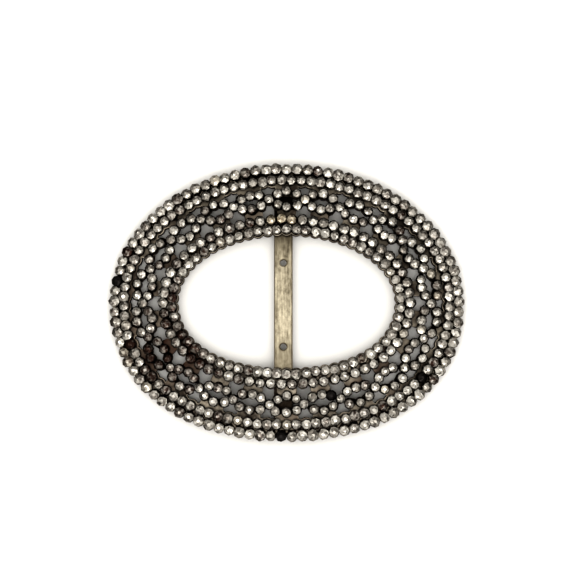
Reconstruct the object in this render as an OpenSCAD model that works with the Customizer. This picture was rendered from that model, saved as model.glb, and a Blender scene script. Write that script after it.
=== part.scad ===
// Oval ornamental buckle: a domed, pierced back plate closely set with five courses of small
// faceted metal beads, and a plain centre bar with two sewing holes.
// Millimetres, +Z up. The buckle lies face up as on a table: the origin is the middle of the
// oval, at table height, with the long axis along X.

/* [Plate] */
// Half length of the oval along the outermost bead course
oval_a = 33.7; // [33:0.1:36]
// Half width of the oval along the outermost bead course
oval_b = 26; // [25.6:0.05:28]
// How much fuller the lower half is towards its corners, as a share of the oval
lower_fullness = 0.03; // [0:0.005:0.04]
// Radius of the shallow dome that the whole face follows
dome_r = 230; // [200:5:260]
// Thickness of the back plate
plate_t = 0.85; // [0.8:0.05:1.2]

/* [Beads] */
// Radius of a bead at its widest
bead_r = 1.03; // [0.8:0.01:1.03]
// Height of a bead above its foot
bead_h = 1.3; // [0.9:0.05:1.6]
// Facets round a bead
bead_sides = 6; // [5:1:6]
// Radius of the flat table on top of a bead
table_r = 0.45; // [0.3:0.01:0.6]

/* [Centre bar] */
// Width of the centre bar
bar_w = 3.6; // [3:0.1:5]
// Thickness of the centre bar
bar_t = 0.9; // [0.7:0.05:1.2]
// Radius of the two sewing holes
hole_r = 0.62; // [0.5:0.02:0.9]
// Distance between the two sewing holes
hole_gap = 16.5; // [14:0.5:20]

/* [Hidden] */
$fn = 72;

// Clearance between a bead course or the bar and the plate
seat = 0.05;
// Thickness of the strip that joins the beads of a course
strip_t = 0.2;
// Half width of that strip
strip_half = 0.5;
// Steps in which the length round an oval is measured
arc_steps = 180;
// Cells of the chain between the two bands
cells = 22;
// Beads in one row of a cell: each one's place along the chain, from the middle of the cell, and
// its distance out
cell_beads = [[-1.9, 1.14], [0, 1.54], [1.9, 1.14]];
// Radius of a bead at its foot, as a share of its widest radius
foot_share = 0.8;
// Height at which a bead is widest, as a share of its height
waist_share = 0.5;
// Size of the beads of the two courses that are set closest, as a share of the others
close_set = 0.95;
// How far the middle of the bar stands from the middle of the oval
bar_x = -0.65;
// How far the bar reaches up and down
bar_reach = 23.3;
// Middle of the pair of sewing holes along the bar
hole_mid = -0.55;
// Radius of the rounded lug of plate under each bead
lug_r = 0.98;
// Radius of the lugs that show beside the outer band, and of those round the open middle
band_lug_r = 1.4;
opening_lug_r = 1.2;
// How far beyond the middle of the beads the edge dips between two lugs
dip = 0.35;
// Half width of the openings beside the knots, and how far out their band may lie
notch_half = 1.55;
notch_reach = 6;
// Height of the block that the plan outlines cut out of the dome
cut_h = 20;
// Width of the rings in which the dome slopes away from its middle
ring_step = 3;

// Height of the middle of the dome above the table when its ends rest on it
dome_z = -sqrt(pow(dome_r - plate_t, 2) - pow(oval_a + lug_r, 2));

// Each bead course: half length, half width, number of beads, and its start as a share of a bead
outer_edge = course(0, 0, 93, 0);
outer_band = course(1.8, 1.9, 93, 0.5);
chain = course(5.45, 5.85, cells, 0);
inner_band = course(9.55, 9.85, 62, 0.5);
opening_edge = course(11.3, 11.85, 62, 0);
half_cell = arc_length(chain) / cells / 2;

function course(in_a, in_b, count, start) =
    let (a = oval_a - in_a, b = oval_b - in_b)
    [a, b, count, start, arc_table(a, b)];

// Point of an oval at an angle taken clockwise from its top
function on_oval(a, b, t) =
    [a * sin(t), b * cos(t)] * (1 + (cos(t) < 0 ? lower_fullness * pow(sin(2 * t), 2) : 0));

// Length round the oval from its top, against the angle
function arc_table(a, b) = [
    for (
        i = 0, s = 0;
        i <= arc_steps;
        s = s + norm(on_oval(a, b, (i + 1) * 360 / arc_steps) - on_oval(a, b, i * 360 / arc_steps)),
        i = i + 1
    ) [s, i * 360 / arc_steps]
];

function arc_length(c) = c[4][arc_steps][0];

// Angle at a length round the oval, which may be past a full turn either way
function angle_at(c, s) =
    let (whole = arc_length(c), in_turn = s - whole * floor(s / whole))
    lookup(in_turn, c[4]);

// Plan point at a length along a course and a distance out from it
function beside(c, s, out) =
    let (
        t = angle_at(c, s),
        run = on_oval(c[0], c[1], t + 1) - on_oval(c[0], c[1], t - 1)
    )
    on_oval(c[0], c[1], t) + out * [-run[1], run[0]] / norm(run);

// Length along a course at which its bead number i stands
function bead_s(c, i) = (i + c[3]) * arc_length(c) / c[2];

function bead_points(c) = [for (i = [0 : c[2] - 1]) beside(c, bead_s(c, i), 0)];

// Closed line at a distance from a course, with a corner between every two beads
function course_line(c, out) = [for (i = [0 : c[2] - 1]) beside(c, bead_s(c, i + 0.5), out)];

// Line along the outer (1) or inner (-1) side of the chain
function strand_line(side) = [
    for (c = [0 : cells - 1]) each [
        for (b = cell_beads) beside(chain, cell_s(c) + b[0], side * (b[1] + strip_half)),
        beside(chain, knot_s(c), side * strip_half)
    ]
];

// Gap between the two strands of a cell
function strand_eye(c) =
    let (s = cell_s(c), tip = half_cell - 1.4 * strip_half)
    [
        beside(chain, s - tip, 0),
        for (b = cell_beads) beside(chain, s + b[0], b[1] - strip_half),
        beside(chain, s + tip, 0),
        for (b = cell_beads) beside(chain, s - b[0], strip_half - b[1])
    ];

function cell_s(c) = 2 * half_cell * c;

function knot_s(c) = cell_s(c) + half_cell;

function chain_points() = [
    for (c = [0 : cells - 1]) each [
        beside(chain, knot_s(c), 0),
        for (b = cell_beads, side = [-1, 1]) beside(chain, cell_s(c) + b[0], side * b[1])
    ]
];

// Outline points on the lug under a bead, in the directions given, 0 along the course and 90 outward
function lug(c, s, out, directions, r = lug_r) = [
    for (d = directions) beside(c, s + r * cos(d), out + r * sin(d))
];

// Rounded edge round a whole course of lugs, on its outer side (1) or inner side (-1)
function scallops(c, side, r) = [
    for (i = [0 : c[2] - 1]) each [
        beside(c, bead_s(c, i - 0.5), side * dip),
        each lug(c, bead_s(c, i), 0, side * [130, 90, 50], r)
    ]
];

// Opening in the middle of a chain cell, between its two rows of beads
function eye(c) =
    let (s = cell_s(c))
    [
        each lug(chain, s - half_cell, 0, [-28, 28]),
        for (b = cell_beads) each lug(chain, s + b[0], b[1], [-120, -60]),
        each lug(chain, s + half_cell, 0, [152, 208]),
        for (b = cell_beads) each lug(chain, s - b[0], -b[1], [60, 120])
    ];

// Opening beside a knot of the chain, on its outer side (1) or inner side (-1): its foot lies
// between the end beads of two cells, and its head follows the lugs, of radius r, of the
// neighbouring band
function notch(c, band, side, r) =
    let (
        s = knot_s(c),
        knot = beside(chain, s, 0),
        up = side * (beside(chain, s, 1) - knot),
        along = [up[1], -up[0]],
        end_bead = [half_cell - cell_beads[2][0], cell_beads[2][1]],
        left = [-end_bead[0], end_bead[1]],
        foot = [
            for (d = [75, 15]) left + lug_r * [cos(d), sin(d)],
            for (d = [115, 65]) lug_r * [cos(d), sin(d)],
            for (d = [165, 105]) end_bead + lug_r * [cos(d), sin(d)]
        ],
        head = [
            for (i = [0 : band[2] - 1])
            let (p = beside(band, bead_s(band, i), 0) - knot)
            if (p * up > 0 && p * up < notch_reach)
            for (d = [-25, 25])
            let (q = p - r * (cos(d) * up + sin(d) * along))
            if (abs(q * along) < notch_half) [q * along, q * up]
        ]
    )
    [for (q = concat(foot, from_the_right(head))) knot + q[0] * along + q[1] * up];

// Points put in order from the largest first number down
function from_the_right(points) =
    len(points) < 2 ? points :
    let (pivot = points[0])
    concat(
        from_the_right([for (p = points) if (p[0] > pivot[0]) p]),
        [pivot],
        from_the_right([for (p = points) if (p[0] < pivot[0]) p])
    );

// Arc of a radius round the middle of the dome, from its axis out, in short straight steps
function dome_arc(r) = [
    for (i = [0 : ceil((oval_a + 2) / ring_step)])
    [i * ring_step, sqrt(pow(r, 2) - pow(i * ring_step, 2))]
];

// Layer of the dome between two radii, a little wider than the oval
module dome_layer(low, high) {
    inner = dome_arc(low);
    outer = dome_arc(high);
    translate([0, 0, dome_z])
    rotate_extrude($fn = 256)
    polygon(concat(inner, [for (i = [len(outer) - 1 : -1 : 0]) outer[i]]));
}

// Carries its children from the middle of the dome out over a plan point on its surface
module on_dome(p, height) {
    translate([0, 0, dome_z])
    rotate([0, asin(norm(p) / dome_r), atan2(p[1], p[0])])
    translate([0, 0, dome_r + height])
    children();
}

// Bead with a flat table and two rows of facets, standing on its foot
module bead(r) {
    rows = [[foot_share * r, 0], [r, waist_share * bead_h], [table_r, bead_h]];
    n = bead_sides;
    points = [
        for (row = rows, i = [0 : n - 1])
        [row[0] * cos(i * 360 / n), row[0] * sin(i * 360 / n), row[1]]
    ];
    walls = [
        for (k = [0, 1], i = [0 : n - 1])
        [k * n + i, (k + 1) * n + i, (k + 1) * n + (i + 1) % n, k * n + (i + 1) % n]
    ];
    foot_face = [for (i = [0 : n - 1]) i];
    table_face = [for (i = [n - 1 : -1 : 0]) 2 * n + i];
    polyhedron(points, concat([foot_face, table_face], walls));
}

module loose_course(c, r) {
    for (p = bead_points(c))
        on_dome(p, seat)
        bead(r);
}

// Beads that stand half way into a thin strip laid on the plate, all one solid
module joined_beads(points, r) {
    union() {
        intersection() {
            dome_layer(dome_r + seat, dome_r + seat + strip_t);
            linear_extrude(cut_h)
            children();
        }
        for (p = points)
            on_dome(p, seat + strip_t / 2)
            bead(r);
    }
}

// Plan of the strip under a plain course
module plain_strip(c) {
    difference() {
        polygon(course_line(c, strip_half));
        polygon(course_line(c, -strip_half));
    }
}

// Plan of the strip under the chain, two strands that meet at every knot
module chain_strip() {
    difference() {
        polygon(strand_line(1));
        polygon(strand_line(-1));
        for (c = [0 : cells - 1])
            polygon(strand_eye(c));
    }
}

module back_plate() {
    color("dimgray")
    intersection() {
        dome_layer(dome_r - plate_t, dome_r);
        linear_extrude(cut_h)
        difference() {
            polygon(scallops(outer_edge, 1, lug_r));
            polygon(scallops(opening_edge, -1, opening_lug_r));
            for (c = [0 : cells - 1]) {
                polygon(eye(c));
                polygon(notch(c, outer_band, 1, band_lug_r));
                polygon(notch(c, inner_band, -1, lug_r));
            }
        }
    }
}

module centre_bar() {
    color("tan")
    difference() {
        intersection() {
            dome_layer(dome_r - plate_t - seat - bar_t, dome_r - plate_t - seat);
            translate([bar_x - bar_w / 2, -bar_reach, 0])
            cube([bar_w, 2 * bar_reach, cut_h]);
        }
        for (side = [-1, 1])
            translate([bar_x, hole_mid + side * hole_gap / 2, 0])
            cylinder(h = cut_h, r = hole_r);
    }
}

module outer_edge_beads() {
    color("silver")
    loose_course(outer_edge, bead_r);
}

module outer_band_beads() {
    color("silver")
    loose_course(outer_band, close_set * bead_r);
}

module chain_beads() {
    color("silver")
    joined_beads(chain_points(), bead_r)
    chain_strip();
}

module inner_band_beads() {
    color("silver")
    joined_beads(bead_points(inner_band), bead_r)
    plain_strip(inner_band);
}

module opening_edge_beads() {
    color("silver")
    joined_beads(bead_points(opening_edge), close_set * bead_r)
    plain_strip(opening_edge);
}

back_plate();
centre_bar();
outer_edge_beads();
outer_band_beads();
chain_beads();
inner_band_beads();
opening_edge_beads();
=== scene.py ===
"""Oval domed buckle of cut steel, lying face up: pierced plate, five courses of faceted heads, centre bar."""
import math

import bpy
import numpy as np
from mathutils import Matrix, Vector
from mathutils.geometry import delaunay_2d_cdt


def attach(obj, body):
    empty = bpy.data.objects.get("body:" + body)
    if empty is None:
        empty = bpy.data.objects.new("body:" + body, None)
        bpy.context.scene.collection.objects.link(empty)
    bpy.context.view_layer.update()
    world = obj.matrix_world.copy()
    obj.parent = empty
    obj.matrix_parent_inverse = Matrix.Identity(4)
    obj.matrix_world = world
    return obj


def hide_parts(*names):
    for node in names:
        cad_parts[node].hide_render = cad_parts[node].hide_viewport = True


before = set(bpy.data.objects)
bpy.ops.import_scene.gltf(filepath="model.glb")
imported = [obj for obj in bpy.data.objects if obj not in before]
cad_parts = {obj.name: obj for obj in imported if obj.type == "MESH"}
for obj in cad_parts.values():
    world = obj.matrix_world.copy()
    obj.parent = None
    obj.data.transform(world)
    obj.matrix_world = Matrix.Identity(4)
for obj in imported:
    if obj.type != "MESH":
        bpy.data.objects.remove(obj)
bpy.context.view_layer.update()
rng = np.random.default_rng(11)     # cut and colours of the heads, and the rivets' ends
uneven = np.random.default_rng(5)   # how far each head stands off its seat
MM = 0.001

# The buckle in millimetres, as in the part's source
OVAL_A, OVAL_B = 33.7, 26.0         # half axes of the oval on which the outermost heads stand
FULLNESS = 0.03                     # share by which its lower half swells on the diagonals
DOME_R, PLATE_T = 230.0, 0.85       # radius of the plate's top, and its thickness
BACK_R = DOME_R - PLATE_T           # radius of the plate's back
RIM = 0.98                          # how far the solid's plate reaches past the outermost seats
DOME_Z = -math.sqrt(BACK_R ** 2 - (OVAL_A + RIM) ** 2)  # middle of the dome's sphere, far below the table
CELLS = 22                          # cells of the looped chain
# The three heads on one side of a cell: how far along from its middle, and how far out
CELL_ROW = np.array([[-1.9, 1.14], [0.0, 1.54], [1.9, 1.14]])
BAR_X, HOLES = -0.65, (7.7, -8.8)   # middle of the bar, and how far up its two holes stand

# Radii of the plate's arcs about the heads, in millimetres
OUTER_LUG, OPENING_LUG = 1.02, 1.20             # at the outer edge and round the opening
CHAIN_LUG = 0.94                                # in the chain
OUTER_BAND_LUG, INNER_BAND_LUG = 1.42, 1.12     # on the two bands, towards the chain

# Wear, grime and painted shade, with places in millimetres
WEAR = np.array([-21.5, -9.5])      # middle of the corroded patch at the lower left
WEAR_SPREAD = 70.0                  # how widely the heads about it are dulled, in square millimetres
WORN = 0.85                         # most that a head in the middle of it is dulled
CLEAN = 3.0                         # stands for "far from any head", where no grime or painted shade is put, as on the back

# Heads that stand out: where they are, and the tone, warmth and dullness of each kind
MARKS = [(-33.2, 3.6, "black"), (-1.1, -26.3, "black"), (27.2, -14.3, "black"), (9.1, -18.5, "black"),
         (-3.7, 15.9, "yellow"), (-1.2, 16.0, "yellow"), (0.8, 16.0, "yellow")]
MARKED = {"black": (-1.0, 0.0, 1.0), "yellow": (0.5, 0.62, 0.35)}


# Plan

def oval(a, b, t):
    """Point at angle t, clockwise from the top: (a sin t, b cos t), in the lower half swelled by
    FULLNESS sin^2 2t."""
    swell = 1 + np.where(np.cos(t) < 0, FULLNESS * np.sin(2 * t) ** 2, 0)
    return np.stack([a * np.sin(t), b * np.cos(t)], -1) * swell[..., None]


class Course:
    """Heads at equal lengths round an oval whose half axes are in_a and in_b shorter than the outermost
    one's; start is where the first head stands, as a share of the space between two."""

    def __init__(self, in_a, in_b, count, start=0.0):
        self.a, self.b = OVAL_A - in_a, OVAL_B - in_b
        self.t = np.linspace(0, 2 * np.pi, 721)
        steps = np.linalg.norm(np.diff(oval(self.a, self.b, self.t), axis=0), axis=1)
        self.s = np.concatenate([[0], np.cumsum(steps)])
        self.length = self.s[-1]
        self.pitch = self.length / count
        self.stands = (np.arange(count) + start) * self.pitch

    def frame(self, s):
        """Point, direction along and direction out, at length s. Along runs from a point a little before to
        one a little after, and out is along turned to the left."""
        t = np.interp(np.mod(s, self.length), self.s, self.t)
        dt = 0.01
        run = oval(self.a, self.b, t + dt) - oval(self.a, self.b, t - dt)
        run /= np.linalg.norm(run, axis=-1, keepdims=True)
        return oval(self.a, self.b, t), run, np.stack([-run[..., 1], run[..., 0]], -1)

    def beside(self, s, out):
        """Point at length s, and out to its side."""
        p, _, n = self.frame(s)
        return p + np.asarray(out)[..., None] * n

    def seats(self, out=0.0):
        """Places of the heads, each moved out by out times y^2 of its direction out: fully at the top and the
        bottom, and not at the sides."""
        p, _, n = self.frame(self.stands)
        return p + out * n[:, 1:] ** 2 * n


outer_edge = Course(0, 0, 93)
outer_band = Course(1.8, 1.9, 93, 0.5)
chain = Course(5.45, 5.85, CELLS)
inner_band = Course(9.55, 9.85, 62, 0.5)
opening_edge = Course(11.3, 11.85, 62)
HALF_CELL = chain.pitch / 2


def chain_seats():
    """The knot after each cell, then the three heads outside and the three inside it."""
    knots = chain.beside(chain.stands + HALF_CELL, 0.0)
    rows = [chain.beside(chain.stands + s, side * out) for side in (1, -1) for s, out in CELL_ROW]
    return np.concatenate([knots, *rows])


def all_seats():
    """Places of all the heads, those of the chain last."""
    courses = (outer_edge, outer_band, inner_band, opening_edge)
    return np.concatenate([*[course.seats() for course in courses], chain_seats()])


def on_dome(p, rho):
    """Plan point to a place at distance rho from the middle of the dome, straight out through the plate."""
    up = np.sqrt(DOME_R ** 2 - (p ** 2).sum(-1))
    d = np.concatenate([p, up[..., None]], -1) / DOME_R
    return d * np.asarray(rho, float)[..., None] + [0, 0, DOME_Z]


# Meshes

def mesh_piece(name, verts, faces, smooth, slot, stands_for=(), **layers):
    """A piece at the origin, from points in millimetres and lists of corner numbers; each layer is an
    attribute's domain and its values."""
    mesh = bpy.data.meshes.new(name)
    mesh.from_pydata((verts * MM).tolist(), [], [row for f in faces for row in f.tolist()])
    mesh.polygons.foreach_set("use_smooth", np.full(len(mesh.polygons), smooth))
    for key, (domain, values) in layers.items():
        layer = mesh.attributes.new(key, "FLOAT", domain)
        layer.data.foreach_set("value", np.asarray(values, np.float32).ravel())
    piece = bpy.data.objects.new(name, mesh)
    bpy.context.scene.collection.objects.link(piece)
    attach(piece, "root")
    if stands_for:
        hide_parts(*stands_for)
    return piece


SIDES = 8       # of a head, and of a rivet's end


def stud_faces(n, rows):
    """Faces of n studs, each with so many rows of SIDES corners from its foot up: the walls of all of them,
    and then the foot and the top of each."""
    k, i = np.meshgrid(np.arange(rows - 1), np.arange(SIDES), indexing="ij")
    j = (i + 1) % SIDES
    low, high = k * SIDES, (k + 1) * SIDES
    walls = np.stack([low + i, low + j, high + j, high + i], -1).reshape(-1, 4)
    ring = np.arange(SIDES)
    caps = np.stack([ring[::-1], ring + (rows - 1) * SIDES])
    first = (np.arange(n) * rows * SIDES)[:, None, None]
    return (walls + first).reshape(-1, 4), (caps + first).reshape(-1, SIDES)


# Heads

# Rows of a head's corners from its foot up: radius and height as shares of the head's radius
HEAD_ROWS = np.array([[0.84, 0.00], [1.00, 0.45], [0.99, 0.80], [0.79, 0.97], [0.34, 1.17]])
RISE = HEAD_ROWS[:, 1:] / HEAD_ROWS[-1, 1]      # their heights as shares of the whole
WALLS = (len(HEAD_ROWS) - 1) * SIDES            # faces of a head besides its foot and its table

# How unevenly they are cut, as shares of the radius and in radians
SIZES = (-0.07, 0.045)          # smallest and largest change of size
CORNER = (0.06, 0.025, 0.03)    # spread of a corner's direction, radius and height
ROW_TURN, LEAN = 0.1, 0.07      # most that a row of corners is turned, and spread of a head's slope
WARMEST = 0.52                  # warmth that only the marked heads go past


def marks_near(seats, reach=1.2):
    """The marks that belong to a course: those within reach of one of its seats."""
    return [m for m in MARKS if ((seats - m[:2]) ** 2).sum(1).min() < reach ** 2]


def shades(seats, marks):
    """Tone, warmth and dullness of each head. The tones spread over the whole range, and few heads are warm
    or dull. At a distance d from the middle of the wear a head is duller by WORN exp(-d^2 / WEAR_SPREAD),
    times 0.4 to 1.0 by chance. Then each mark sets the head that is nearest to it."""
    n = len(seats)
    tone = rng.beta(1.7, 1.6, n)
    warm = rng.beta(1.0, 5.0, n).clip(0, WARMEST)
    dull = rng.beta(0.9, 3.6, n)
    wear = np.exp(-((seats - WEAR) ** 2).sum(1) / WEAR_SPREAD)
    dull = np.clip(dull + WORN * wear * rng.uniform(0.4, 1.0, n), 0, 1)
    for x, y, kind in marks:
        i = ((seats - [x, y]) ** 2).sum(1).argmin()
        tone[i], warm[i], dull[i] = MARKED[kind]
    return {"tone": tone[:, None], "warm": warm[:, None], "dull": dull[:, None]}


def by_face(values):
    """Values of the faces of each head, in the order of stud_faces."""
    values = np.broadcast_to(values, (len(values), WALLS + 2))
    return "FACE", np.concatenate([values[:, :WALLS].ravel(), values[:, WALLS:].ravel()])


def standing(seats, clear=0.02):
    """The foot of a head on each seat, a trifle clear of the plate, and its three directions: up runs out
    from the middle of the dome, east is square to it and to the y axis, and north is square to both."""
    up = on_dome(seats, DOME_R) - [0, 0, DOME_Z]
    up /= np.linalg.norm(up, axis=1, keepdims=True)
    east = np.cross([0, 1, 0], up)
    east /= np.linalg.norm(east, axis=1, keepdims=True)
    return on_dome(seats, DOME_R + clear), east, np.cross(up, east), up


def heads(name, seats, radius, grime_and_shade_rise, stray, node):
    """Cut heads, one to a seat, in place of a node of the part. Each is an eight-sided form whose corners
    follow HEAD_ROWS, turned, leaned and sized a little differently, with every corner moved a trifle, as
    hand-cut facets are. Each stands off its seat by a chance length of about stray. The black band low on
    the heads, painted shade and grime, reaches higher up them by a given share of their height."""
    n, rows = len(seats), len(HEAD_ROWS)
    marks = marks_near(seats)
    seats = seats + stray * uneven.normal(0, 1, seats.shape).clip(-2, 2)

    size = radius * (1 + rng.uniform(*SIZES, (n, 1, 1)))
    turn = rng.uniform(0, 2 * np.pi / SIDES, (n, 1, 1))
    jig = rng.normal(0, 1, (n, rows, SIDES, 3)) * CORNER
    row_turn = rng.uniform(-ROW_TURN, ROW_TURN, (n, rows, 1))
    lean = rng.normal(0, LEAN, (n, 1, 1, 2))
    a = np.arange(SIDES) * 2 * np.pi / SIDES + turn + jig[..., 0] + row_turn
    r = HEAD_ROWS[:, :1] * (1 + jig[..., 1]) * size
    x, y = r * np.cos(a), r * np.sin(a)
    z = HEAD_ROWS[:, 1:] * (1 + jig[..., 2]) * size
    z = z + (x * lean[..., 0] + y * lean[..., 1]) * RISE
    foot, east, north, up = standing(seats)
    parts = [c[..., None] * v[:, None, None] for c, v in ((x, east), (y, north), (z, up))]
    verts = (foot[:, None, None] + sum(parts)).reshape(-1, 3)

    layers = shades(seats, marks)
    layers["facet"] = rng.uniform(0, 1, (n, WALLS + 2))
    layers = {key: by_face(values) for key, values in layers.items()}
    rise = np.broadcast_to(RISE - grime_and_shade_rise, (n, rows, SIDES))
    return mesh_piece(name, verts, stud_faces(n, rows), False, "bead_steel", (node,),
                      **layers, rise=("POINT", rise))


# Outlines of the plate

def arc(centre, along, out, r, degrees):
    """Points at distance r from a centre, in directions counted from along (0) to out (90)."""
    d = np.radians(degrees)[:, None]
    return centre + r * (np.cos(d) * along + np.sin(d) * out)


def lug_row(course, side, r, squeeze, steps=9, least=12):
    """Closed scalloped line on one side of a course: an arc of radius r about each head. It starts where it
    meets the next head's, half the pitch away times squeeze, the share of the pitch that is left on that
    side, but at least so many degrees up."""
    p, along, out = course.frame(course.stands)
    first = np.degrees(np.arccos(min(squeeze * course.pitch / 2 / r, math.cos(math.radians(least)))))
    d = np.radians(np.linspace(180 - first, first, steps))[None, :, None]
    return (p[:, None] + r * (np.cos(d) * along[:, None] + side * np.sin(d) * out[:, None])).reshape(-1, 2)


def eye(c, r):
    """Opening in the middle of a cell: arcs of radius r about its two knots and its six heads, each so many
    degrees to both sides of the direction that points into the cell."""
    at_knot, at_head = 32, 38
    spots = [(-HALF_CELL, 0.0, 0, at_knot), *[(x, out, -90, at_head) for x, out in CELL_ROW],
             (HALF_CELL, 0.0, 180, at_knot), *[(-x, -out, 90, at_head) for x, out in CELL_ROW]]
    line = []
    for x, out, inward, reach in spots:
        d = np.radians(np.linspace(inward - reach, inward + reach, 7))
        line.append(chain.beside(c * chain.pitch + x + r * np.cos(d), out + r * np.sin(d)))
    return np.concatenate(line)


def notch(c, band, side, band_r, squeeze, inset):
    """Opening beside a knot: arcs about the cells' two end heads, the knot and the heads of the neighbouring
    band, each of its full radius less inset. Those of the band are cut where they meet, as in lug_row."""
    knot, _, out = chain.frame(np.array((2 * c + 1) * HALF_CELL))
    up = side * out
    along = np.array([up[1], -up[0]])
    x, y = np.eye(2)

    r = CHAIN_LUG - inset
    right = np.array([HALF_CELL - CELL_ROW[2, 0], CELL_ROW[2, 1]])
    at_left, at_knot = np.linspace(78, 8, 8), np.linspace(118, 62, 7)
    line = [arc(right * [-1, 1], x, y, r, at_left), arc(np.zeros(2), x, y, r, at_knot),
            arc(right, x, y, r, 180 - at_left[::-1])]

    # of the band, the heads no further up and aside than this, and of their arcs what lies over the mouth
    far_up, far_aside, half_mouth = 6, 2.6, 1.55
    seats = band.seats() - knot
    local = np.stack([seats @ along, seats @ up], 1)
    local = local[(local[:, 1] > 0) & (local[:, 1] < far_up) & (abs(local[:, 0]) < far_aside)]
    first = math.degrees(math.acos(squeeze * band.pitch / 2 / band_r))
    turns = np.linspace(first, 180 - first, 9)
    for centre in local[np.argsort(-local[:, 0])]:
        kept = turns[abs(arc(centre, x, -y, band_r, turns)[:, 0]) < half_mouth]
        line.append(arc(centre, x, -y, band_r - inset, kept))
    q = np.concatenate(line)
    return knot + q[:, :1] * along + q[:, 1:] * up


def plate_lines(inset):
    """All closed lines of the plate's plan with every lug smaller by inset, the outer one first."""
    lines = [lug_row(outer_edge, 1, OUTER_LUG - inset, 1.0),
             lug_row(opening_edge, -1, OPENING_LUG - inset, 0.93)]
    for c in range(CELLS):
        lines.append(eye(c, CHAIN_LUG - inset))
        lines.append(notch(c, outer_band, 1, OUTER_BAND_LUG, 0.97, inset))
        lines.append(notch(c, inner_band, -1, INNER_BAND_LUG, 1.0, inset))
    return lines


# The plate's faces

def about(points, line, margin):
    """Numbers of the points that lie in the box round a line, made wider by a margin."""
    return np.flatnonzero(((points > line.min(0) - margin) & (points < line.max(0) + margin)).all(1))


def inside(points, line):
    """Which points lie in a closed line, by counting the sides that a ray to the right crosses."""
    found = np.zeros(len(points), bool)
    near = about(points, line, 0)
    a, b = line, np.roll(line, -1, 0)
    x, y = points[near, :1], points[near, 1:]
    cross = (a[:, 1] > y) != (b[:, 1] > y)
    run = np.where(b[:, 1] == a[:, 1], 1e-9, b[:, 1] - a[:, 1])
    found[near] = (cross & (x < (b[:, 0] - a[:, 0]) * (y - a[:, 1]) / run + a[:, 0])).sum(1) % 2 == 1
    return found


def in_plate(points, lines):
    """Which points lie in the plate: inside the first line and outside all others."""
    kept = inside(points, lines[0])
    for line in lines[1:]:
        kept &= ~inside(points, line)
    return kept


def field(lines, step=0.5, clear=0.17):
    """Points of a triangular net over the plate, those closer than clear to one of its lines left out."""
    half_x, half_y, row = 36, 28, step * 0.866
    x, y = np.meshgrid(np.arange(-half_x, half_x, step), np.arange(-half_y, half_y, row))
    x = x + (np.arange(len(x)) % 2)[:, None] * step / 2
    net = np.stack([x.ravel(), y.ravel()], 1)
    net = net[in_plate(net, lines)]
    kept = np.ones(len(net), bool)
    for line in lines:
        near = about(net, line, clear)
        kept[near] &= (np.linalg.norm(net[near][:, None] - line, axis=2) > clear).all(1)
    return net[kept]


def ends(first, count):
    """Numbers of the two ends of each side of a closed line whose corners are numbered from first."""
    i = np.arange(count)
    return np.stack([first + i, first + (i + 1) % count], 1)


def sheet(lines, starts):
    """Points and triangles of the plate's plan: the corners of its lines and then a net between them, joined
    by triangles that keep every side of the lines, without those outside the plate, all counterclockwise."""
    flat = np.concatenate([*lines, field(lines)])
    kept = np.concatenate([ends(start, len(line)) for start, line in zip(starts, lines)])
    points = [Vector(p) for p in flat.tolist()]
    co, _, tris, orig, _, _ = delaunay_2d_cdt(points, kept.tolist(), [], 0, 1e-6)
    co, tris = np.array([tuple(v) for v in co]), np.array(tris)
    tris = tris[in_plate(co[tris].mean(1), lines)]
    tris = np.array([o[0] for o in orig])[tris]
    a, b = flat[tris[:, 1]] - flat[tris[:, 0]], flat[tris[:, 2]] - flat[tris[:, 0]]
    turned = a[:, 0] * b[:, 1] - a[:, 1] * b[:, 0] <= 0
    return flat, np.where(turned[:, None], tris[:, ::-1], tris)


def edge_walls(lines, starts, rows):
    """Quads along every side of the lines, from each row of corners to the next, facing away from the metal.
    It lies to the left of the outer line where that runs counterclockwise, and to the left of the others
    where they run clockwise."""
    quads = []
    for start, line in zip(starts, lines):
        i, j = ends(start, len(line)).T
        area = (line[:, 0] * np.roll(line[:, 1], -1) - line[:, 1] * np.roll(line[:, 0], -1)).sum()
        metal_left = (area > 0) == (start == 0)
        for up, low in zip(rows[:-1], rows[1:]):
            quad = np.stack([up + i, low + i, low + j, up + j], -1)
            quads.append(quad if metal_left else quad[:, ::-1])
    return np.concatenate(quads)


# Profile of a cut edge from the top down: how far it stands in from the lug's full radius, and its distance
# from the middle of the dome
EDGE = np.array([[0.09, DOME_R], [0.03, DOME_R - 0.02], [0.0, DOME_R - 0.08],
                 [0.0, BACK_R + 0.08], [0.03, BACK_R + 0.02], [0.09, BACK_R]])


def pierced_plate():
    """Domed plate: its top and back are the plan's faces carried to two radii of the dome, and each closed
    line carries the EDGE profile between them."""
    lines = [plate_lines(inset) for inset in EDGE[:, 0]]
    starts = np.concatenate([[0], np.cumsum([len(line) for line in lines[0]])])
    flat, tris = sheet(lines[0], starts)
    n_line, n_flat = starts[-1], len(flat)
    between = [on_dome(np.concatenate(row), rho) for row, rho in zip(lines[1:-1], EDGE[1:-1, 1])]
    verts = np.concatenate([on_dome(flat, DOME_R), *between, on_dome(flat, BACK_R)])
    rows = np.concatenate([[0], n_flat + n_line * np.arange(len(EDGE) - 1)])
    walls = edge_walls(lines[0], starts, rows)
    faces = [tris, tris[:, ::-1] + rows[-1], walls]

    edge = np.concatenate([np.zeros(2 * len(tris)), np.ones(len(walls))])
    away = np.linalg.norm(flat[:, None] - all_seats(), axis=2).min(1)
    away = np.concatenate([away, np.zeros(n_line * len(between)), np.full(n_flat, CLEAN)])
    rim = np.arange(len(verts)) < n_line
    return mesh_piece("pierced_plate", verts, faces, True, "plate_steel", ("back_plate",),
                      edge=("FACE", edge), away=("POINT", away), rim=("POINT", rim))


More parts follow.
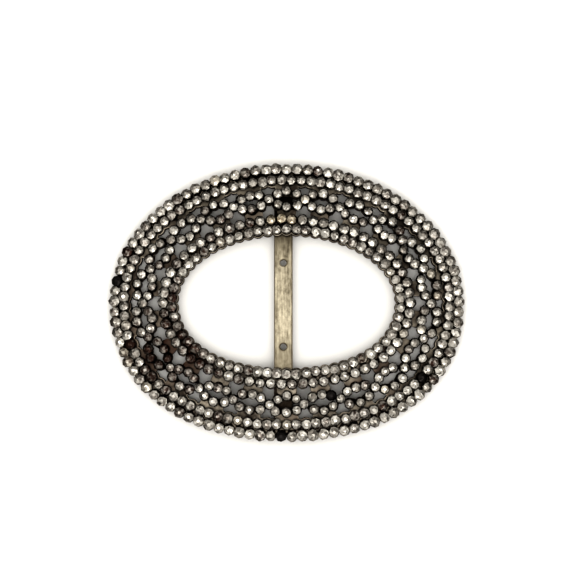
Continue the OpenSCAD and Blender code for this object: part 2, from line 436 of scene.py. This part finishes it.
def rivet_ends():
    """Hammered ends of the heads' shanks on the plate's back: low eight-sided domes, radius r cos q and depth
    h sin q / sin 1 for q from 0 to 1, left out where the bar covers them."""
    beside_bar, sunk = 2.4, 0.01
    seats = all_seats()
    seats = seats[abs(seats[:, 0] - BAR_X) > beside_bar]
    n = len(seats)
    r = rng.uniform(0.36, 0.5, (n, 1, 1))
    h = rng.uniform(0.08, 0.15, (n, 1, 1))
    q = np.array([0.0, 0.5, 1.0])[:, None]
    a = np.arange(SIDES) * 2 * np.pi / SIDES + rng.uniform(0, 1, (n, 1, 1))
    x, y = r * np.cos(q) * np.cos(a), r * np.cos(q) * np.sin(a)
    depth = h * np.sin(q) / math.sin(1.0)
    verts = on_dome(seats[:, None, None] + np.stack([x, y], -1), BACK_R + sunk - depth).reshape(-1, 3)
    faces = [f[:, ::-1] for f in stud_faces(n, len(q))]
    return mesh_piece("rivet_ends", verts, faces, False, "plate_steel",
                      away=("POINT", np.full(len(verts), CLEAN)))


# Shader maths

class Wire:
    """An output socket of a node; sums, products and differences of wires and numbers add Math nodes."""

    def __init__(self, tree, socket):
        self.tree, self.socket = tree, socket

    def node(self, kind, settings, inputs, out=0):
        """A node with its settings, and with wires or values on its inputs; gives one of its outputs."""
        made = self.tree.nodes.new(kind)
        for key, value in settings.items():
            setattr(made, key, value)
        for key, value in inputs.items():
            join(self.tree, value, made.inputs[key])
        return Wire(self.tree, made.outputs[out])

    def math(self, operation, *values, clamp=False):
        """The result of a Math node on these values."""
        settings = {"operation": operation, "use_clamp": clamp}
        return self.node("ShaderNodeMath", settings, dict(enumerate(values)))

    def __add__(self, other):
        return self.math("ADD", self, other)

    def __sub__(self, other):
        return self.math("SUBTRACT", self, other)

    def __rsub__(self, other):
        return self.math("SUBTRACT", other, self)

    def __mul__(self, other):
        return self.math("MULTIPLY", self, other)

    __radd__, __rmul__ = __add__, __mul__

    def clip(self):
        """The wire held between 0 and 1."""
        return self.math("ADD", self, 0.0, clamp=True)

    def spread(self, low, high, to_low=0.0, to_high=1.0):
        """Maps low..high to to_low..to_high, held at both ends."""
        values = {0: self, 1: low, 2: high, 3: to_low, 4: to_high}
        return self.node("ShaderNodeMapRange", {"clamp": True}, values)

    def blend(self, a, b):
        """Colour a where the wire is 0 and b where it is 1."""
        a, b = (c if isinstance(c, Wire) else (*c, 1) for c in (a, b))
        return self.node("ShaderNodeMix", {"data_type": "RGBA"}, {0: self, 6: a, 7: b}, out=2)

    def part(self, axis):
        """The x (0), y (1) or z (2) of a place."""
        return self.node("ShaderNodeSeparateXYZ", {}, {0: self}, out=axis)

    def scaled(self, by):
        """A place with each of its axes scaled."""
        return self.node("ShaderNodeMapping", {}, {0: self, 3: by})

    def far(self, point):
        """Distance of a place from a fixed point."""
        return self.node("ShaderNodeVectorMath", {"operation": "DISTANCE"}, {0: self, 1: point}, out=1)

    def bump(self, strength, depth):
        """Normal of a surface whose height follows the wire."""
        return self.node("ShaderNodeBump", {}, {"Strength": strength, "Distance": depth, "Height": self})


def join(tree, value, socket):
    """Links a wire to a socket, or sets the socket to a value."""
    if isinstance(value, Wire):
        tree.links.new(value.socket, socket)
    else:
        socket.default_value = value


class Finish:
    """A new material: layers and noises that start its wires, and the shader's sockets in which they end."""

    def __init__(self, name):
        self.material = bpy.data.materials.new(name)
        self.material.use_nodes = True
        self.tree = self.material.node_tree
        self.place = Wire(self.tree, self.tree.nodes.new("ShaderNodeTexCoord").outputs["Object"])

    def layer(self, key):
        """A layer of the piece's mesh."""
        return self.place.node("ShaderNodeAttribute", {"attribute_name": key}, {}, out=2)

    def noise(self, scale, detail=3.0, stretch=(1, 1, 1), rough=0.55):
        """Cloudy pattern from 0 to 1 with grains about a metre over scale wide, longer along an axis whose
        stretch is under 1."""
        at = self.place.scaled(stretch)
        values = {"Vector": at, "Scale": scale, "Detail": detail, "Roughness": rough}
        return at.node("ShaderNodeTexNoise", {}, values)

    def put(self, **sockets):
        """Wires or values for sockets of the shader; gives the material."""
        for key, value in sockets.items():
            join(self.tree, value, self.tree.nodes["Principled BSDF"].inputs[key.replace("_", " ")])
        return self.material


# Materials

DARK_STEEL, BRIGHT_STEEL = (0.095, 0.085, 0.073), (0.430, 0.414, 0.382)
YELLOWED, TARNISHED, BLACKENED = (0.30, 0.24, 0.14), (0.033, 0.021, 0.017), (0.022, 0.020, 0.019)
# FOOT is tarnish; the black above it, where the crown begins, is painted shade and grime
FOOT, HEAD_GRIME_AND_SHADE = (0.045, 0.037, 0.030), (0.003, 0.0018, 0.0012)
DARK_PLATE, PALE_PLATE = (0.034, 0.029, 0.024), (0.17, 0.152, 0.126)
RUST, RUBBED = (0.040, 0.025, 0.019), (0.36, 0.326, 0.27)
# the black near the heads is painted shade and grime, and the dark of the cut edges is painted shade
SHADED_CUT_EDGE, PLATE_GRIME_AND_SHADE = (0.050, 0.042, 0.034), (0.005, 0.0030, 0.0020)
DARK_BAR, PALE_BAR = (0.075, 0.064, 0.046), (0.37, 0.336, 0.262)
# painted shade of the bar: towards the ends of the opening, round its holes, and black under the plate
SHADED_BAR, BAR_UNDER_PLATE_SHADE = (0.050, 0.042, 0.030), (0.008, 0.005, 0.004)


def cut_steel():
    """Polished facets of tempered steel: grey, each facet its own shade, some heads brown or dulled; the
    sides are tarnished, with a line of black where the crown begins that is painted shade and grime."""
    made = Finish("cut steel")
    tone, facet, warm, dull, rise = map(made.layer, ("tone", "facet", "warm", "dull", "rise"))
    pits = made.noise(1500).spread(0.35, 0.65)
    crown = (tone * 0.40 + facet * 0.50).spread(-0.05, 0.95).blend(DARK_STEEL, BRIGHT_STEEL)
    crown = (warm.spread(0.45, 0.80) * 0.75).blend(crown, YELLOWED)
    crown = (dull * 1.5 + pits * 0.9 - 0.75).clip().blend(crown, TARNISHED)
    crown = tone.spread(-0.9, 0.0).blend(BLACKENED, crown)
    # the black band where the crown begins is painted shade and grime
    side = rise.spread(0.20, 0.62).blend(FOOT, HEAD_GRIME_AND_SHADE)
    colour = (rise + (pits - 0.5) * 0.12).spread(0.57, 0.79).blend(side, crown)
    roughness = (0.08 + dull * 0.22 + facet * 0.12 + (1 - rise.spread(0.45, 0.75)) * 0.3).clip()
    scratches = made.noise(2600, 2).bump(0.08, 0.03 * MM)
    return made.put(Base_Color=colour, Metallic=1.0, Roughness=roughness, Normal=scratches)


def stamped_steel():
    """The plate: tarnished steel with brown stains, black between the heads that is painted shade and grime,
    and cut edges darkened with painted shade; the rims of the lugs, where cloth has rubbed them, stay pale."""
    made = Finish("stamped steel")
    edge, away, rim = map(made.layer, ("edge", "away", "rim"))
    grain = made.noise(1800)
    colour = made.noise(170, 5, rough=0.65).spread(0.38, 0.62).blend(DARK_PLATE, PALE_PLATE)
    patch = made.place.far((*WEAR * MM, 3 * MM)).spread(3 * MM, 10 * MM, 0.9, 0.0)
    colour = (made.noise(75, 4).spread(0.52, 0.68) * 0.7 + patch).clip().blend(colour, RUST)
    colour = (rim - made.noise(240, 2) * 0.9 + (grain - 0.5) * 0.3).spread(0.28, 0.70).blend(colour, RUBBED)
    # black near the heads: painted shade and grime
    colour = (away + (grain - 0.5) * 0.1).spread(0.94, 1.06).blend(PLATE_GRIME_AND_SHADE, colour)
    # the cut edges darkened with painted shade
    colour = edge.blend(colour, SHADED_CUT_EDGE)
    roughness = (0.36 + 0.25 * grain).clip()
    return made.put(Base_Color=colour, Metallic=1.0, Roughness=roughness, Normal=grain.bump(0.15, 0.04 * MM))


def drawn_metal():
    """The bar: yellowish drawn metal with streaks along it, darker at its edges and round its holes, with
    painted shade towards the ends of the opening and black painted shade behind the plate."""
    made = Finish("drawn metal")
    x, y = made.place.part(0), made.place.part(1)
    streak = made.noise(2400, stretch=(1, 0.07, 1))
    broad = made.noise(700, stretch=(1, 0.07, 1))
    patch = made.noise(1800, stretch=(1, 0.7, 1))
    side = x.math("ABSOLUTE", x - BAR_X * MM).spread(1.55 * MM, 1.78 * MM, 0.0, -0.5)
    worn = streak * 0.55 + broad * 0.4 + patch * 0.35 + side
    colour = worn.spread(0.46, 0.84).blend(DARK_BAR, PALE_BAR)
    plan = made.place.scaled((1, 1, 0))
    upper, lower = [plan.far((BAR_X * MM, hole * MM, 0)) for hole in HOLES]
    # darker round the holes, in the colour of the bar's painted shade
    dark_round_holes = upper.math("MINIMUM", upper, lower).spread(0.66 * MM, 0.92 * MM, 0.9, 0.0)
    shade = y.spread(8.5 * MM, 14.5 * MM) + y.spread(-9.8 * MM, -6.2 * MM, 0.45, 0.0)
    colour = (shade + dark_round_holes).clip().blend(colour, SHADED_BAR)
    # black painted shade where the plate covers the bar
    under_plate_shade = y.spread(14.2 * MM, 16.0 * MM) + y.spread(-16.0 * MM, -14.2 * MM, 0.9, 0.0)
    colour = under_plate_shade.blend(colour, BAR_UNDER_PLATE_SHADE)
    roughness = (0.30 + 0.22 * streak).clip()
    return made.put(Base_Color=colour, Metallic=1.0, Roughness=roughness, Normal=streak.bump(0.12, 0.04 * MM))


# Pieces

steel, plate_metal, bar_metal = cut_steel(), stamped_steel(), drawn_metal()

# each course: its seats, the radius of its heads, how much higher the black of painted shade and grime
# # reaches, how far the heads stray from their seats, and the node that they stand for
for name, seats, radius, grime_and_shade_rise, stray, node in (
    ("outer_edge_heads", outer_edge.seats(0.2), 1.15, -0.30, 0.04, "outer_edge_beads"),
    ("outer_band_heads", outer_band.seats(-0.1), 1.14, 0.04, 0.06, "outer_band_beads"),
    ("chain_heads", chain_seats(), 1.06, 0.08, 0.12, "chain_beads"),
    ("inner_band_heads", inner_band.seats(), 1.12, 0.04, 0.06, "inner_band_beads"),
    ("opening_edge_heads", opening_edge.seats(), 1.08, -0.10, 0.05, "opening_edge_beads"),
):
    heads(name, seats, radius, grime_and_shade_rise, stray, node).data.materials.append(steel)

plate = pierced_plate()
plate.data.materials.append(plate_metal)
plate.data.set_sharp_from_angle(angle=math.radians(50))
rivet_ends().data.materials.append(plate_metal)

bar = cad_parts["centre_bar"]
bar.data.materials.clear()
bar.data.materials.append(bar_metal)


# Table

TABLE = 1.5     # half its side, in metres
floor_mesh = bpy.data.meshes.new("table")
corners = [(-TABLE, -TABLE, 0), (TABLE, -TABLE, 0), (TABLE, TABLE, 0), (-TABLE, TABLE, 0)]
floor_mesh.from_pydata(corners, [], [(0, 1, 2, 3)])
floor = bpy.data.objects.new("table", floor_mesh)
bpy.context.scene.collection.objects.link(floor)
floor_mesh.materials.append(Finish("white table").put(Base_Color=(0.53, 0.521, 0.504, 1), Roughness=0.8))


# Light

bpy.context.scene.view_settings.view_transform = "Standard"
bpy.context.scene.view_settings.look = "Very High Contrast"

# the light tent is bright overhead, dim low down, and brighter towards the lower edge of the picture
world = bpy.data.worlds.new("studio")
bpy.context.scene.world = world
world.use_nodes = True
sky = world.node_tree
background = sky.nodes["Background"].inputs
heading = Wire(sky, sky.nodes.new("ShaderNodeTexCoord").outputs["Generated"])
tent = heading.part(2).spread(0.10, 0.90, 0.15, 1.70) * (1 - heading.part(1) * 0.28)
join(sky, (1.0, 0.99, 0.97, 1), background["Color"])
join(sky, tent, background["Strength"])

softbox = bpy.data.lights.new("overhead softbox", "AREA")
softbox.shape, softbox.size, softbox.size_y, softbox.energy = "RECTANGLE", 0.70, 0.40, 1.8
lamp = bpy.data.objects.new("overhead softbox", softbox)
lamp.location = (-0.05, -0.28, 0.80)
lamp.rotation_mode = "QUATERNION"
lamp.rotation_quaternion = (-lamp.location).to_track_quat("-Z", "Y")
bpy.context.scene.collection.objects.link(lamp)


# Camera

PHOTO_H = 577               # height of the photograph in pixels, its longer side
SCALE = 0.1957 * MM         # metres to a pixel, at the heads
AIM = Vector((-0.33, 2.58, 3)) * MM     # what the middle of the photograph shows
DISTANCE, TILT = 0.40, math.radians(6)  # how far off the camera is, and how far it leans to the lower edge
SENSOR = 36.0               # width of the camera's sensor, in its own millimetres

camera = bpy.data.cameras.new("camera")
camera.sensor_fit, camera.sensor_width = "AUTO", SENSOR
camera.lens = SENSOR * DISTANCE / (PHOTO_H * SCALE)
camera.clip_start, camera.clip_end = 0.01, 10
view = bpy.data.objects.new("camera", camera)
bpy.context.scene.collection.objects.link(view)
bpy.context.scene.camera = view
back = Vector((0, -math.sin(TILT), math.cos(TILT)))
view.location = AIM + DISTANCE * back
view.rotation_mode = "QUATERNION"
view.rotation_quaternion = (-back).to_track_quat("-Z", "Y")
